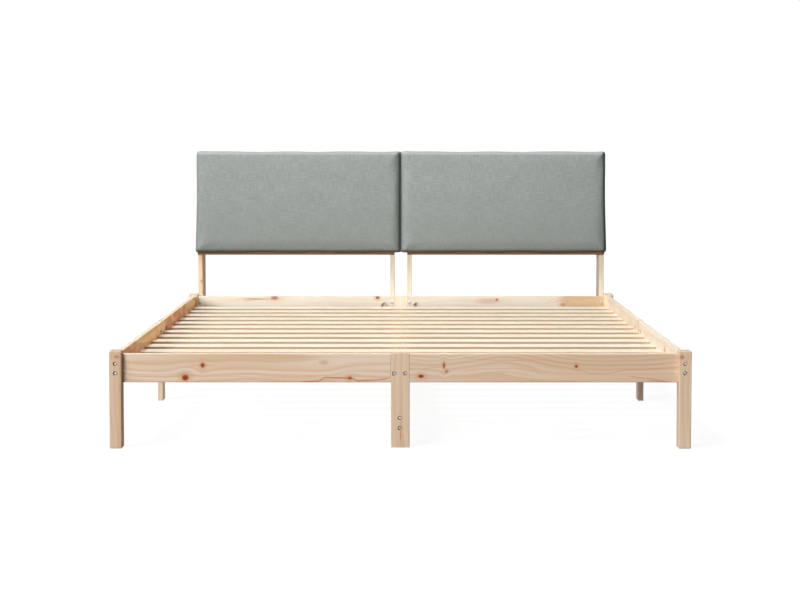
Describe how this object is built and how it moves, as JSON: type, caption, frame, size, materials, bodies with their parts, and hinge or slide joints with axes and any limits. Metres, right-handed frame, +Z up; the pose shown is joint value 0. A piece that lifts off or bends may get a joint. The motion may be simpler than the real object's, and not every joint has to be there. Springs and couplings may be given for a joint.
{
  "type": "double bed frame",
  "caption": "Low double bed frame of solid pine boards with a slatted base and a leaning headboard that carries two linen cushions.",
  "frame": {"origin": "on the floor under the middle of the whole bed, headboard included", "axes": "+X to the right seen from the foot, +Y from the foot to the headboard, +Z up"},
  "size_m": [1.883, 2.186, 0.9455],
  "materials": {
    "pine_uprights": "clear matt oil, fine upright grain",
    "pine_cross_boards": "clear matt oil, grain across the bed, small knots",
    "pine_long_boards": "clear matt oil, grain along the bed",
    "pine_slats": "planed pine, pale and matt",
    "plywood": "bare thin plywood",
    "linen": "grey linen weave",
    "zinc_steel": "zinc plated steel"
  },
  "bodies": {
    "root": {"barrel_nuts": "zinc_steel", "board_screws": "zinc_steel", "centre_beam_front": "pine_long_boards", "centre_beam_rear": "pine_long_boards", "centre_ledger_left": "pine_long_boards", "centre_ledger_right": "pine_long_boards", "centre_leg_bolts": "zinc_steel", "connector_nuts": "zinc_steel", "connector_rods": "zinc_steel", "corner_bolts": "zinc_steel", "cushion_left": "linen", "cushion_right": "linen", "foot_leg_centre": "pine_uprights", "foot_leg_left": "pine_uprights", "foot_leg_right": "pine_uprights", "foot_rail_left": "pine_cross_boards", "foot_rail_right": "pine_cross_boards", "head_leg_centre": "pine_uprights", "head_leg_left": "pine_uprights", "head_leg_right": "pine_uprights", "head_rail_left": "pine_cross_boards", "head_rail_right": "pine_cross_boards", "inner_post_left": "pine_uprights", "inner_post_right": "pine_uprights", "ledger_screws": "zinc_steel", "lower_cross_board_left": "pine_cross_boards", "lower_cross_board_right": "pine_cross_boards", "middle_leg_centre": "pine_uprights", "moon_washers": "zinc_steel", "outer_post_left": "pine_uprights", "outer_post_right": "pine_uprights", "pad_board_left": "plywood", "pad_board_right": "plywood", "pad_screws": "zinc_steel", "post_bolts": "zinc_steel", "side_ledger_left": "pine_long_boards", "side_ledger_right": "pine_long_boards", "side_leg_left": "pine_uprights", "side_leg_right": "pine_uprights", "side_rail_left_front": "pine_long_boards", "side_rail_left_rear": "pine_long_boards", "side_rail_right_front": "pine_long_boards", "side_rail_right_rear": "pine_long_boards", "slat_row_01": "pine_slats", "slat_row_02": "pine_slats", "slat_row_03": "pine_slats", "slat_row_04": "pine_slats", "slat_row_05": "pine_slats", "slat_row_06": "pine_slats", "slat_row_07": "pine_slats", "slat_row_08": "pine_slats", "slat_row_09": "pine_slats", "slat_row_10": "pine_slats", "slat_row_11": "pine_slats", "slat_row_12": "pine_slats", "slat_row_13": "pine_slats", "stretcher_front": "pine_long_boards", "stretcher_rear": "pine_long_boards", "upper_cross_board_left": "pine_cross_boards", "upper_cross_board_right": "pine_cross_boards"}
  },
  "joints": []
}
